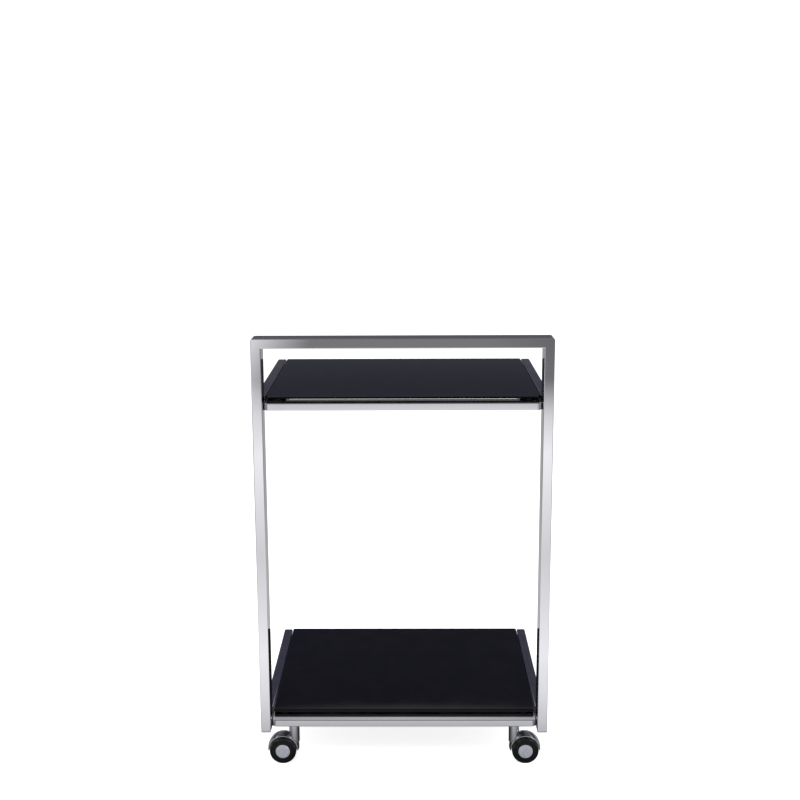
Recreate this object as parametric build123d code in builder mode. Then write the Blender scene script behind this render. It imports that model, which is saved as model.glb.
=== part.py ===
"""Bar cart on wheels: a chrome arch, two black glass shelves behind it and four twin-wheel casters.

Millimetres.  +X is to the right, the arch faces -Y, the shelves reach back along +Y and +Z is up.
The origin is on the floor, below the middle of the cart.
"""
from build123d import *
import os

os.makedirs("parts", exist_ok=True)

# ---------------------------------------------------------------- overall sizes
overall_width = 558.0
overall_depth = 424.0
overall_height = 858.0
upper_shelf_height = 741.5      # top of the upper glass above the floor

# ---------------------------------------------------------------- arch of rectangular tube
post_width = 19.0
post_depth = 38.0
tube_wall = 2.0
tube_edge = 1.5                 # outer rounding along the tubes
tube_inner_edge = 0.5
arch_corner = 5.0               # ground rounding of the two mitred corners
post_drop = 2.5                 # posts end this far below the lower rails

# ---------------------------------------------------------------- end caps
post_cap_flange = 4.0
arm_cap_flange = 2.5
plug_length = 10.0
plug_wall = 1.5
plug_clearance = 0.1
cap_rounding = 0.8

# ---------------------------------------------------------------- shelf frames
rail_height = 14.0
rail_depth = 38.0
rail_setback = 19.0             # front rail behind the face of the arch
rail_corner = 9.0               # outer corners of a shelf frame, seen from above
arm_edge = 3.0                  # softer rounding along the arms

# ---------------------------------------------------------------- glass shelves and their pads
glass_thickness = 7.0
glass_side_gap = 1.5
glass_setback = 47.5            # front edge of the glass behind the face of the arch
glass_edge = 0.8                # polished bevel round both faces
glass_corner = 3.0
glass_overhang = 3.0            # rear edge of the glass past the ends of the arms
pad_thickness = 2.0
pad_diameter = 20.0
pad_inset = 22.0                # pad centre in from the side of the shelf frame
pad_setback = 1.5               # pad edge behind the front edge of the glass
pad_rounding = 0.5

# ---------------------------------------------------------------- caster wheels
wheel_diameter = 53.0
wheel_width = 15.2
wheel_rounding = 3.0
wheel_inner_rounding = 1.0
wheel_gap = 0.4                 # wheel to the middle web of the housing
axle_diameter = 6.0
axle_fit = 0.08                 # running clearance in the wheels
axle_press = 0.02               # clearance in the web
head_diameter = 10.0
head_thickness = 1.2
head_gap = 0.4
hub_cap_diameter = 28.0
hub_recess = 5.0                # depth of the recess in the outer face of a wheel
hub_fit = 0.1
hub_cap_wall = 1.2
hub_cap_dome = 1.4              # rise of the hub cap above the wheel face
hub_cap_shoulder = 0.75         # share of that rise reached halfway out

# ---------------------------------------------------------------- caster housings and stems
web_thickness = 5.0
web_boss_radius = 8.0
hood_gap = 1.0                  # hood clear of the wheel rim
hood_wall = 2.0
hood_width = 24.0
hood_crown = 1.5                # rise of the hood at its middle
hood_skirt = 1.0                # hood edges reach this far below the axle
hood_rounding = 0.5             # eased rims of the hood
caster_trail = 22.0             # axle behind the swivel pin
caster_inset = 61.0             # swivel pin in from the side of the cart
neck_diameter = 20.5
neck_rounding = 1.0
neck_foot = 13.5                # lower end of the neck above the axle
neck_rise = 24.0                # top of the hood to the underside of the lower rails
thrust_gap = 0.4
collar_thickness = 2.0
collar_diameter = 18.0
stem_diameter = 8.0
stem_fit = 0.08                 # running clearance round the swivel pin
pin_depth = 17.0
pin_end_gap = 1.0
thread_clearance = 0.1
nut_radius = 7.5                # corner radius of the hexagon
nut_height = 6.0
rail_room = 1.5                 # end of the thread clear of the rail's upper wall

# ---------------------------------------------------------------- places worked out from the sizes
front = -overall_depth / 2
rear = overall_depth / 2
half_width = overall_width / 2
post_x = half_width - post_width / 2
post_y = front + post_depth / 2
post_rear = front + post_depth

arm_height = rail_height + pad_thickness + glass_thickness
arm_end = rear - glass_overhang
arm_tube_end = arm_end - arm_cap_flange
frame_half_width = half_width - post_width
rail_front = front + rail_setback
rail_rear = arm_tube_end
side_rail_x = frame_half_width - rail_depth / 2
side_rail_start = rail_front + rail_depth
side_rail_end = rail_rear - rail_depth

wheel_radius = wheel_diameter / 2
hood_inner = wheel_radius + hood_gap
hood_outer = hood_inner + hood_wall
lower_rail_bottom = wheel_radius + hood_outer + neck_rise
upper_rail_bottom = upper_shelf_height - arm_height
post_bottom = lower_rail_bottom - post_drop
post_tube_bottom = post_bottom + post_cap_flange
collar_bottom = lower_rail_bottom - collar_thickness
neck_top = collar_bottom - thrust_gap
neck_bottom = wheel_radius + neck_foot

glass_width = 2 * (frame_half_width - glass_side_gap)
glass_front = front + glass_setback
glass_length = rear - glass_front
glass_y = (rear + glass_front) / 2
pad_x = frame_half_width - pad_inset
pad_front_y = glass_front + pad_setback + pad_diameter / 2
pad_rear_y = rail_rear - rail_depth / 2

caster_x = half_width - caster_inset
caster_front_y = rail_front + rail_depth / 2
caster_rear_y = rail_rear - rail_depth / 2
stem_radius = stem_diameter / 2
thread_length = rail_height - tube_wall - rail_room
axle_radius = axle_diameter / 2
wheel_start = web_thickness / 2 + wheel_gap
wheel_face = wheel_start + wheel_width
recess_floor = wheel_face - hub_recess
head_start = recess_floor + head_gap
head_end = head_start + head_thickness
hub_cap_radius = hub_cap_diameter / 2

shelves = (("lower", lower_rail_bottom), ("upper", upper_rail_bottom))
sides = (("left", -1), ("right", 1))
caster_rows = (("front", caster_front_y), ("rear", caster_rear_y))
caster_spots = [(side * caster_x, y) for _, y in caster_rows for _, side in sides]


def save(part, name):
    """Label a finished piece and write it under its own name."""
    part.label = name
    export_step(part, "parts/" + name + ".step")


def tube_section(width, depth, edge):
    """Hollow rounded rectangle of a tube, drawn in the running sketch."""
    RectangleRounded(width, depth, edge)
    RectangleRounded(width - 2 * tube_wall, depth - 2 * tube_wall, tube_inner_edge, mode=Mode.SUBTRACT)


def plug_section(width, depth):
    """Hollow rounded rectangle that fits inside a tube of the given outer size."""
    plug_width = width - 2 * tube_wall - 2 * plug_clearance
    plug_depth = depth - 2 * tube_wall - 2 * plug_clearance
    RectangleRounded(plug_width, plug_depth, tube_inner_edge)
    RectangleRounded(plug_width - 2 * plug_wall, plug_depth - 2 * plug_wall, tube_inner_edge,
                     mode=Mode.SUBTRACT)


def facing_back(x, y, z):
    """Plane across the cart's depth, its normal along +Y and its second axis up."""
    return Plane(origin=(x, y, z), x_dir=(-1, 0, 0), z_dir=(0, 1, 0))


def mitre_plane(side):
    """The 45 degree cut where a post meets the top bar, its normal up and towards the middle."""
    return Plane(origin=(side * half_width, 0, overall_height), z_dir=(-side, 0, 1))


# ---------------------------------------------------------------- arch: two posts and the top bar
with BuildPart() as arch_envelope:
    with BuildSketch(facing_back(0, 0, 0)) as arch_outline:
        with Locations((0, overall_height / 2)):
            Rectangle(overall_width, overall_height)
        fillet(arch_outline.vertices().sort_by(Axis.Y)[-2:], arch_corner)
    extrude(amount=overall_depth, both=True)

for side_name, side in sides:
    with BuildPart() as post:
        with BuildSketch(Plane.XY.offset(post_tube_bottom)):
            with Locations((side * post_x, post_y)):
                tube_section(post_width, post_depth, tube_edge)
        extrude(amount=overall_height - post_tube_bottom)
        split(bisect_by=mitre_plane(side), keep=Keep.BOTTOM)
        add(arch_envelope.part, mode=Mode.INTERSECT)
    save(post.part, side_name + "_post")

    with BuildPart() as post_cap:
        with BuildSketch(Plane.XY.offset(post_bottom)):
            with Locations((side * post_x, post_y)):
                RectangleRounded(post_width, post_depth, tube_edge)
        extrude(amount=post_cap_flange)
        fillet(post_cap.edges().group_by(Axis.Z)[0], cap_rounding)
        with BuildSketch(Plane.XY.offset(post_tube_bottom)):
            with Locations((side * post_x, post_y)):
                plug_section(post_width, post_depth)
        extrude(amount=plug_length)
    save(post_cap.part, side_name + "_post_cap")

with BuildPart() as top_bar:
    with BuildSketch(Plane.YZ.offset(-half_width)):
        with Locations((post_y, overall_height - post_width / 2)):
            tube_section(post_depth, post_width, tube_edge)
    extrude(amount=overall_width)
    split(bisect_by=mitre_plane(-1), keep=Keep.TOP)
    split(bisect_by=mitre_plane(1), keep=Keep.TOP)
    add(arch_envelope.part, mode=Mode.INTERSECT)
save(top_bar.part, "top_bar")

# ---------------------------------------------------------------- shelf frames, glass and pads
for shelf, bottom in shelves:
    rail_top = bottom + rail_height
    rail_middle = bottom + rail_height / 2
    arm_middle = bottom + arm_height / 2

    for side_name, side in sides:
        with BuildPart() as arm:
            with BuildSketch(facing_back(side * post_x, post_rear, arm_middle)):
                tube_section(post_width, arm_height, arm_edge)
            extrude(amount=arm_tube_end - post_rear)
        save(arm.part, shelf + "_" + side_name + "_arm")

        with BuildPart() as arm_cap:
            with BuildSketch(facing_back(side * post_x, arm_tube_end, arm_middle)):
                RectangleRounded(post_width, arm_height, arm_edge)
            extrude(amount=arm_cap_flange)
            fillet(arm_cap.edges().group_by(Axis.Y)[-1], cap_rounding)
            with BuildSketch(facing_back(side * post_x, arm_tube_end, arm_middle)):
                plug_section(post_width, arm_height)
            extrude(amount=-plug_length)
        save(arm_cap.part, shelf + "_" + side_name + "_arm_cap")

        with BuildPart() as side_rail:
            with BuildSketch(facing_back(side * side_rail_x, side_rail_start, rail_middle)):
                tube_section(rail_depth, rail_height, tube_edge)
            extrude(amount=side_rail_end - side_rail_start)
        save(side_rail.part, shelf + "_" + side_name + "_rail")

    for row, row_y in caster_rows:
        # Corners on the outer side of the frame are bent, those on the inner side are square.
        outer_pair = slice(0, 2) if row == "front" else slice(2, 4)
        with BuildPart() as cross_rail:
            with BuildSketch(Plane.XY.offset(bottom)) as rail_outline:
                with Locations((0, row_y)):
                    Rectangle(2 * frame_half_width, rail_depth)
                fillet(rail_outline.vertices().sort_by(Axis.Y)[outer_pair], rail_corner)
            extrude(amount=rail_height)
            rims = cross_rail.edges().group_by(Axis.Z)
            fillet(rims[0] + rims[-1], tube_edge)
            with BuildSketch(Plane.XY.offset(bottom + tube_wall)) as hollow_outline:
                with Locations((0, row_y)):
                    Rectangle(2 * (frame_half_width - tube_wall), rail_depth - 2 * tube_wall)
                fillet(hollow_outline.vertices().sort_by(Axis.Y)[outer_pair], rail_corner - tube_wall)
            extrude(amount=rail_height - 2 * tube_wall, mode=Mode.SUBTRACT)
            if shelf == "lower":
                with BuildSketch(Plane.XY.offset(bottom)):
                    with Locations((-caster_x, row_y), (caster_x, row_y)):
                        Circle(stem_radius + thread_clearance)
                extrude(amount=tube_wall, mode=Mode.SUBTRACT)
        save(cross_rail.part, shelf + "_" + row + "_rail")

    pad_spots = [(x, y) for y in (pad_front_y, pad_rear_y) for x in (-pad_x, pad_x)]
    with BuildPart() as pads:
        with BuildSketch(Plane.XY.offset(rail_top)):
            with Locations(*pad_spots):
                Circle(pad_diameter / 2)
        extrude(amount=pad_thickness)
        fillet(pads.edges().filter_by(GeomType.CIRCLE), pad_rounding)
    save(pads.part, shelf + "_pads")

    with BuildPart() as glass:
        with BuildSketch(Plane.XY.offset(rail_top + pad_thickness)):
            with Locations((0, glass_y)):
                RectangleRounded(glass_width, glass_length, glass_corner)
        extrude(amount=glass_thickness)
        rims = glass.edges().group_by(Axis.Z)
        chamfer(rims[0] + rims[-1], glass_edge)
    save(glass.part, shelf + "_glass")

# ---------------------------------------------------------------- nuts inside the lower rails
with BuildPart() as caster_nuts:
    with BuildSketch(Plane.XY.offset(lower_rail_bottom + tube_wall)):
        with Locations(*caster_spots):
            RegularPolygon(nut_radius, 6)
            Circle(stem_radius + thread_clearance, mode=Mode.SUBTRACT)
    extrude(amount=nut_height)
save(caster_nuts.part, "caster_nuts")

# ---------------------------------------------------------------- casters
for row, y in caster_rows:
    for side_name, side in sides:
        caster = row + "_" + side_name
        pin_x = side * caster_x
        wheel_x = side * (caster_x + caster_trail)
        axle_line = Axis((wheel_x, y, wheel_radius), (0, 1, 0))
        axle_plane = facing_back(wheel_x, y, wheel_radius)
        # Half section through the axle: along it to the back, and away from it upwards.
        radial_plane = Plane(origin=(wheel_x, y, wheel_radius), x_dir=(0, 1, 0), z_dir=(1, 0, 0))

        with BuildPart() as stem:
            with BuildSketch(Plane.XY.offset(lower_rail_bottom)):
                with Locations((pin_x, y)):
                    Circle(stem_radius)
            extrude(amount=thread_length)
            with BuildSketch(Plane.XY.offset(collar_bottom)):
                with Locations((pin_x, y)):
                    Circle(collar_diameter / 2)
            extrude(amount=collar_thickness)
            with BuildSketch(Plane.XY.offset(collar_bottom)):
                with Locations((pin_x, y)):
                    Circle(stem_radius)
            extrude(amount=-pin_depth)
        save(stem.part, caster + "_stem")

        with BuildPart() as housing:
            with BuildSketch(Plane.XY.offset(neck_bottom)):
                with Locations((pin_x, y)):
                    Circle(neck_diameter / 2)
            extrude(amount=neck_top - neck_bottom)
            ends = housing.edges().group_by(Axis.Z)
            fillet(ends[0] + ends[-1], neck_rounding)
            # Room for the wheels below the neck.
            with BuildSketch(axle_plane):
                Circle(hood_inner)
            extrude(amount=hood_width, both=True, mode=Mode.SUBTRACT)
            # Hood: a crowned band turned about the axle.
            with BuildSketch(radial_plane) as hood_section:
                with BuildLine():
                    Line((hood_width / 2, hood_outer), (hood_width / 2, hood_inner))
                    Line((hood_width / 2, hood_inner), (-hood_width / 2, hood_inner))
                    Line((-hood_width / 2, hood_inner), (-hood_width / 2, hood_outer))
                    ThreePointArc((-hood_width / 2, hood_outer), (0, hood_outer + hood_crown),
                                  (hood_width / 2, hood_outer))
                make_face()
                fillet(hood_section.vertices(), hood_rounding)
            revolve(axis=axle_line, revolution_arc=360)
            # Middle web between the wheels, down to the axle.
            with BuildSketch(axle_plane):
                Circle(hood_inner + hood_wall / 2)
            extrude(amount=web_thickness / 2, both=True)
            below = hood_outer + hood_crown
            with Locations((wheel_x, y, wheel_radius - hood_skirt - below / 2)):
                Box(2 * below, 2 * hood_width, below, mode=Mode.SUBTRACT)
            with BuildSketch(axle_plane):
                Circle(web_boss_radius)
            extrude(amount=web_thickness / 2, both=True)
            with BuildSketch(axle_plane):
                Circle(axle_radius + axle_press)
            extrude(amount=web_thickness, both=True, mode=Mode.SUBTRACT)
            with BuildSketch(Plane.XY.offset(neck_top)):
                with Locations((pin_x, y)):
                    Circle(stem_radius + stem_fit)
            extrude(amount=-(pin_depth - thrust_gap + pin_end_gap), mode=Mode.SUBTRACT)
        save(housing.part, caster + "_housing")

        with BuildPart() as axle:
            with BuildSketch(axle_plane):
                Circle(axle_radius)
            extrude(amount=head_end, both=True)
            for direction in (-1, 1):
                with BuildSketch(axle_plane.offset(direction * head_start)):
                    Circle(head_diameter / 2)
                extrude(amount=direction * head_thickness)
        save(axle.part, caster + "_axle")

        # Twin wheels, one on each side of the web.
        for place, direction in (("front", -1), ("back", 1)):
            with BuildPart() as wheel:
                with BuildSketch(axle_plane.offset(direction * wheel_start)):
                    Circle(wheel_radius)
                extrude(amount=direction * wheel_width)
                rims = wheel.edges().sort_by(Axis.Y)[::direction]
                fillet(rims[-1], wheel_rounding)
                fillet(wheel.edges().sort_by(Axis.Y)[::direction][0], wheel_inner_rounding)
                with BuildSketch(axle_plane.offset(direction * wheel_face)):
                    Circle(hub_cap_radius + hub_fit)
                extrude(amount=-direction * hub_recess, mode=Mode.SUBTRACT)
                with BuildSketch(axle_plane.offset(direction * wheel_start)):
                    Circle(axle_radius + axle_fit)
                extrude(amount=direction * wheel_width, mode=Mode.SUBTRACT)
            save(wheel.part, caster + "_" + place + "_wheel")

            inner_radius = hub_cap_radius - hub_cap_wall
            dome_top = wheel_face + hub_cap_dome
            with BuildPart() as hub_cap:
                with BuildSketch(radial_plane):
                    with BuildLine():
                        Line((direction * (dome_top - hub_cap_wall), 0), (direction * dome_top, 0))
                        ThreePointArc(
                            (direction * dome_top, 0),
                            (direction * (wheel_face + hub_cap_shoulder * hub_cap_dome), hub_cap_radius / 2),
                            (direction * wheel_face, hub_cap_radius))
                        Line((direction * wheel_face, hub_cap_radius),
                             (direction * recess_floor, hub_cap_radius))
                        Line((direction * recess_floor, hub_cap_radius),
                             (direction * recess_floor, inner_radius))
                        Line((direction * recess_floor, inner_radius),
                             (direction * (wheel_face - hub_cap_wall), inner_radius))
                        Line((direction * (wheel_face - hub_cap_wall), inner_radius),
                             (direction * (dome_top - hub_cap_wall), 0))
                    make_face()
                revolve(axis=axle_line, revolution_arc=360)
            save(hub_cap.part, caster + "_" + place + "_hub_cap")
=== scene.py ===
# %% [markdown]
# # A bar cart on wheels
# The real cart is a chromed arch of rectangular tube, two black glass shelves that reach back
# from it on welded frames, and four twin-wheel casters.
# This lesson takes the finished CAD model as a fixed frame, gives every part its finish, and
# builds finer versions of the parts where light shows more than a plain solid has: glass
# edges, wheels, hub caps, pads, plugs, pins and welds.

# %% Load the frame
import bpy
import bmesh
from math import cos, pi, radians, sin, tan
from mathutils import Matrix, Vector


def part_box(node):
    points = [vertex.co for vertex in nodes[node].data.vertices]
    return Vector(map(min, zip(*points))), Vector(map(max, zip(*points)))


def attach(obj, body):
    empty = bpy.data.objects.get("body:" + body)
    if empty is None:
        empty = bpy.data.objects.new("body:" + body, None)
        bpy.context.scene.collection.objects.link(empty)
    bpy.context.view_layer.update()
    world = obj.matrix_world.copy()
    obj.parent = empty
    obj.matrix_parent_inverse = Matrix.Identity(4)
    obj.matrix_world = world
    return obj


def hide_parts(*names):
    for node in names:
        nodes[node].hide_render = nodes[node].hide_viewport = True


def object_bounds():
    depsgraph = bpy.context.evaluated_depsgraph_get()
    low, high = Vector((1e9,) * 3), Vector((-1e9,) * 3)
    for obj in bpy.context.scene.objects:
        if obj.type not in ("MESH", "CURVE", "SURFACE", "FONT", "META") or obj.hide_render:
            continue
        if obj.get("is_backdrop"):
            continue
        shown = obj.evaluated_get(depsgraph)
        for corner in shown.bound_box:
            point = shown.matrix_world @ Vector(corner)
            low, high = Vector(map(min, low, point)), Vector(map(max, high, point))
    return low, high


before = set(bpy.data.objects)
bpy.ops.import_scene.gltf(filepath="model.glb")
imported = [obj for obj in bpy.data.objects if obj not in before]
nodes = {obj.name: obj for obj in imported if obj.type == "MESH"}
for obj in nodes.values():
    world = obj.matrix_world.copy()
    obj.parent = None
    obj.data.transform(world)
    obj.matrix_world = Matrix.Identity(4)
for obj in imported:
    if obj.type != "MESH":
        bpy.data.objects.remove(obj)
cad_low, cad_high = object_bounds()
scene = bpy.context.scene
print("cart measures", [round(1000 * side) for side in cad_high - cad_low], "mm")

# %% [markdown]
# ## The room
# Chrome has hardly any colour of its own: it shows the room. A studio for shiny goods is a
# white floor, a big soft lamp overhead and a dim wall, so the metal gets bright and dark bands.
# Lamps alone give noisy reflections, so the world shader here has a separate answer for
# mirror rays: dim round the sides, a bright band above that, and dark straight overhead.
# Everything else sees a plain white room.

# %% World
MM = 0.001


def add_node(tree, kind, place=(0, 0), inputs=None, **settings):
    """Add a node, set its properties and fill its inputs with values or links."""
    node = tree.nodes.new(kind)
    node.location = place
    for name, value in settings.items():
        setattr(node, name, value)
    for key, value in (inputs or {}).items():
        if isinstance(value, bpy.types.NodeSocket):
            tree.links.new(value, node.inputs[key])
        else:
            node.inputs[key].default_value = value
    return node


def math_node(tree, operation, first, second=0.0, place=(0, 0), clamp=False):
    """One arithmetic step; its result is returned as a socket."""
    return add_node(tree, "ShaderNodeMath", place, {0: first, 1: second},
                    operation=operation, use_clamp=clamp).outputs[0]


def ramp(tree, factor, stops, place=(0, 0), interpolation="LINEAR"):
    """A colour ramp through grey values or colours at the given positions."""
    node = add_node(tree, "ShaderNodeValToRGB", place, {0: factor})
    bar = node.color_ramp
    bar.interpolation = interpolation
    while len(bar.elements) < len(stops):
        bar.elements.new(0.5)
    for element, (position, tone) in zip(bar.elements, stops):
        element.position = position
        element.color = (*tone, 1) if isinstance(tone, tuple) else (tone, tone, tone, 1)
    return node.outputs["Color"]


world = bpy.data.worlds.new("studio")
scene.world = world
world.use_nodes = True
tree = world.node_tree
tree.nodes.clear()
ray = add_node(tree, "ShaderNodeLightPath", (-900, 300))
direction = add_node(tree, "ShaderNodeTexCoord", (-1300, 0)).outputs["Generated"]
axes = add_node(tree, "ShaderNodeSeparateXYZ", (-1100, 0), {0: direction})
SOFTBOX_EDGE = sin(radians(28.45))     # the bright band starts this far above the horizon
height_share = math_node(tree, "MULTIPLY_ADD", axes.outputs["Z"], 0.5, (-900, 0))
height_share.node.inputs[2].default_value = 0.5
edge = 0.5 + 0.5 * SOFTBOX_EDGE
mirror_room = ramp(tree, height_share, [
    (0.0, 0.40), (0.47, 0.34), (0.5, 0.30), (0.54, 0.17), (0.58, (0.115, 0.115, 0.130)),
    (0.60, (0.062, 0.062, 0.085)), (edge - 0.0015, (0.050, 0.050, 0.072)),
    (edge + 0.0015, 0.80), (0.80, 0.72), (0.87, 0.13), (1.0, 0.09)], (-700, 0))
plain_room = add_node(tree, "ShaderNodeBackground", (-300, 200),
                      {"Color": (0.97, 0.98, 1.0, 1), "Strength": 0.5})
mirror_wall = add_node(tree, "ShaderNodeBackground", (-300, 0),
                       {"Color": mirror_room, "Strength": 1.0})
white_wall = add_node(tree, "ShaderNodeBackground", (-300, -200),
                      {"Color": (1, 1, 1, 1), "Strength": 1.05})
for_mirrors = add_node(tree, "ShaderNodeMixShader", (-50, 100),
                       {0: ray.outputs["Is Glossy Ray"], 1: plain_room.outputs[0],
                        2: mirror_wall.outputs[0]})
for_camera = add_node(tree, "ShaderNodeMixShader", (150, 0),
                      {0: ray.outputs["Is Camera Ray"], 1: for_mirrors.outputs[0],
                       2: white_wall.outputs[0]})
add_node(tree, "ShaderNodeOutputWorld", (350, 0), {"Surface": for_camera.outputs[0]})
scene.view_settings.view_transform = "Standard"
scene.view_settings.look = "None"
print("world has", len(tree.nodes), "nodes")

# %% [markdown]
# ## The floor
# A pale sheet with no texture, evenly white where it is looked at. The lamps light it, and
# for mirrors its brightness is painted light: a glow, strong in front of the cart and less
# behind. The chrome posts mirror that floor from bottom to top, so its painted brightness
# along the depth is what gives them their long soft bands, and it is set here by a ramp,
# with painted shade under the cart.

# %% Floor
FLOOR_HALF = 30.0
FLOOR_DROP = 0.0001           # keeps the sheet clear of the wheels
# Painted shadow: how far the mirrored floor's glow is darkened under the cart.
PAINTED_CART_SHADOW = 0.88             # how much light the cart keeps off the floor below it
FLOOR_LIFT = 0.84             # added to the lamps' light where the floor is looked at
FRONT = cad_low.y


def floor_sheet():
    """A square of floor, just below the wheels."""
    mesh = bpy.data.meshes.new("floor")
    corners = [(-1, -1), (1, -1), (1, 1), (-1, 1)]
    mesh.from_pydata([(x * FLOOR_HALF, y * FLOOR_HALF, -FLOOR_DROP) for x, y in corners], [],
                     [(0, 1, 2, 3)])
    sheet = bpy.data.objects.new("floor", mesh)
    scene.collection.objects.link(sheet)
    sheet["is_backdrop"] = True
    return sheet


def floor_finish():
    """White when looked at; when mirrored, a glow of painted light banded along the depth."""
    material = bpy.data.materials.new("floor_white_painted_glow")
    material.use_nodes = True
    tree = material.node_tree
    tree.nodes.clear()
    ray = add_node(tree, "ShaderNodeLightPath", (-900, 400))
    place = add_node(tree, "ShaderNodeTexCoord", (-1500, 0)).outputs["Object"]
    axes = add_node(tree, "ShaderNodeSeparateXYZ", (-1300, 0), {0: place})
    span = 8.0                     # metres covered by the ramp, half of them in front
    share = math_node(tree, "MULTIPLY_ADD", axes.outputs["Y"], 1 / span, (-1100, 0))
    share.node.inputs[2].default_value = 0.5

    def at(distance):
        """Position on the ramp of a line that far in front of the cart."""
        return 0.5 + (FRONT - distance) / span

    def behind(distance):
        return 0.5 + (-FRONT + distance) / span

    # Painted light along the depth: a bright pool in front of the cart, painted shade close to
    # it, dimmer behind.
    painted_depth_light = [(0.0, 0.27), (at(3.6), 0.38), (at(2.95), 1.02), (at(2.3), 1.30),
                   (at(1.75), 1.12), (at(1.15), 0.92), (at(0.8), 1.06), (at(0.5), 1.24),
                   (at(0.3), 1.06), (at(0.18), 0.82), (at(0.13), 0.66),
                   (at(0.05), 0.30), (behind(-0.05), 0.30), (behind(0.1), 0.52),
                   (behind(1.2), 0.42), (1.0, 0.36)]
    bands = ramp(tree, share, painted_depth_light, (-800, 0))
    # A painted bright patch far ahead on the left, added to both the colour and the strength of
    # the floor's glow.
    left = add_node(tree, "ShaderNodeMapRange", (-1100, -300),
                    {"Value": axes.outputs["X"], "From Min": -0.62, "From Max": -1.0})
    far = add_node(tree, "ShaderNodeMapRange", (-1100, -600),
                   {"Value": axes.outputs["Y"], "From Min": -2.6, "From Max": -3.7})
    painted_far_patch = math_node(tree, "MULTIPLY", left.outputs[0], far.outputs[0], (-900, -400))
    painted_far_patch = math_node(tree, "MULTIPLY", painted_far_patch, 0.52, (-700, -400))
    mirrored = add_node(tree, "ShaderNodeMix", (-500, 0),
                        {0: 1.0, "A": bands, "B": painted_far_patch}, data_type="RGBA", blend_type="ADD")
    # Painted shadow: the strength of the mirrored floor's glow drops in a box under the cart.
    shade = 1.0                    # the cart keeps the lamps off the floor below it
    for axis, inside, outside in (("X", 0.23, 0.34), ("Y", 0.17, 0.27)):
        apart = math_node(tree, "ABSOLUTE", axes.outputs[axis], 0.0, (-1100, -900))
        below = add_node(tree, "ShaderNodeMapRange", (-900, -900),
                         {"Value": apart, "From Min": outside, "From Max": inside})
        shade = math_node(tree, "MULTIPLY", below.outputs[0], shade, (-700, -900))
    painted_glow_strength = math_node(tree, "MULTIPLY_ADD", shade, -PAINTED_CART_SHADOW, (-500, -700))
    painted_glow_strength.node.inputs[2].default_value = 1.0
    # Painted falloff: the mirrored floor's glow gets darker away to the sides of the cart.
    aside = math_node(tree, "ABSOLUTE", axes.outputs["X"], 0.0, (-1100, -1200))
    painted_side_falloff = add_node(tree, "ShaderNodeMapRange", (-900, -1200),
                       {"Value": aside, "From Min": 0.55, "From Max": 1.5, "To Min": 1.0,
                        "To Max": 0.42})
    wide = math_node(tree, "MULTIPLY", painted_glow_strength, painted_side_falloff.outputs[0], (-400, -900))
    painted_glow_strength = math_node(tree, "ADD", wide, painted_far_patch, (-300, -700))
    # The mirrored floor glows: an emitter whose painted light stands in for lamp light on the
    # floor.
    glow = add_node(tree, "ShaderNodeEmission", (-250, 0),
                    {"Color": mirrored.outputs["Result"], "Strength": painted_glow_strength})
    matt = add_node(tree, "ShaderNodeBsdfDiffuse", (-250, 300),
                    {"Color": (0.80, 0.80, 0.80, 1), "Roughness": 0.0})
    lift = add_node(tree, "ShaderNodeEmission", (-250, 150), {"Color": (1, 1, 1, 1)})
    tree.links.new(math_node(tree, "MULTIPLY", ray.outputs["Is Camera Ray"], FLOOR_LIFT,
                             (-500, 250)), lift.inputs["Strength"])
    seen = add_node(tree, "ShaderNodeAddShader", (0, 200),
                    {0: matt.outputs[0], 1: lift.outputs[0]})
    both = add_node(tree, "ShaderNodeMixShader", (200, 100),
                    {0: ray.outputs["Is Glossy Ray"], 1: seen.outputs[0], 2: glow.outputs[0]})
    add_node(tree, "ShaderNodeOutputMaterial", (400, 100), {"Surface": both.outputs[0]})
    return material


floor = floor_sheet()
floor.data.materials.append(floor_finish())
print("floor is", 2 * FLOOR_HALF, "m square")

# %% [markdown]
# ## The lamps
# A large soft panel in front and overhead does most of the work, and a fainter one on each
# side keeps the wheels' edges readable. Area lamps are the plain way to make soft panels.

# %% Lamps
def soft_panel(name, place, target, width, height, watts, mirrored=False):
    """A rectangular area lamp at a place, aimed at a target, seen in mirrors or not."""
    lamp = bpy.data.lights.new(name, "AREA")
    lamp.shape = "RECTANGLE"
    lamp.size, lamp.size_y, lamp.energy = width, height, watts
    holder = bpy.data.objects.new(name, lamp)
    holder.location = place
    aim = Vector(target) - Vector(place)
    holder.rotation_euler = aim.to_track_quat("-Z", "Y").to_euler()
    holder.visible_glossy = mirrored
    scene.collection.objects.link(holder)


soft_panel("key_panel", (-0.7, -1.9, 2.7), (0, 0, 0.4), 1.6, 1.2, 38)
soft_panel("top_panel", (0.2, 0.6, 3.0), (0, 0, 0.4), 2.0, 1.6, 30)
soft_panel("right_panel", (2.4, -0.6, 1.6), (0, 0, 0.4), 0.9, 1.4, 14, True)
soft_panel("left_panel", (-2.4, 0.2, 1.6), (0, 0, 0.4), 0.9, 1.4, 10, True)

# %% [markdown]
# ## The camera
# A long lens, a little above the upper shelf, looking slightly down. The lens is shifted a
# little so that the verticals stay nearly upright, as with a product camera.

# %% Camera
def aim_camera(place, pitch, yaw, roll, focal, shift):
    """Place the camera and turn it by three angles in degrees."""
    data = bpy.data.cameras.new("camera")
    data.sensor_width, data.lens = 36.0, focal
    data.shift_y = shift
    data.clip_start, data.clip_end = 0.05, 200
    holder = bpy.data.objects.new("camera", data)
    p, y, r = radians(pitch), radians(yaw), radians(roll)
    forward = Vector((sin(y) * cos(p), cos(y) * cos(p), -sin(p)))
    right = forward.cross(Vector((0, 0, 1))).normalized()
    up = right.cross(forward)
    right, up = right * cos(r) + up * sin(r), up * cos(r) - right * sin(r)
    turn = Matrix((right, up, -forward)).transposed().to_4x4()
    holder.matrix_world = Matrix.Translation(place) @ turn
    scene.collection.objects.link(holder)
    scene.camera = holder


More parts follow.
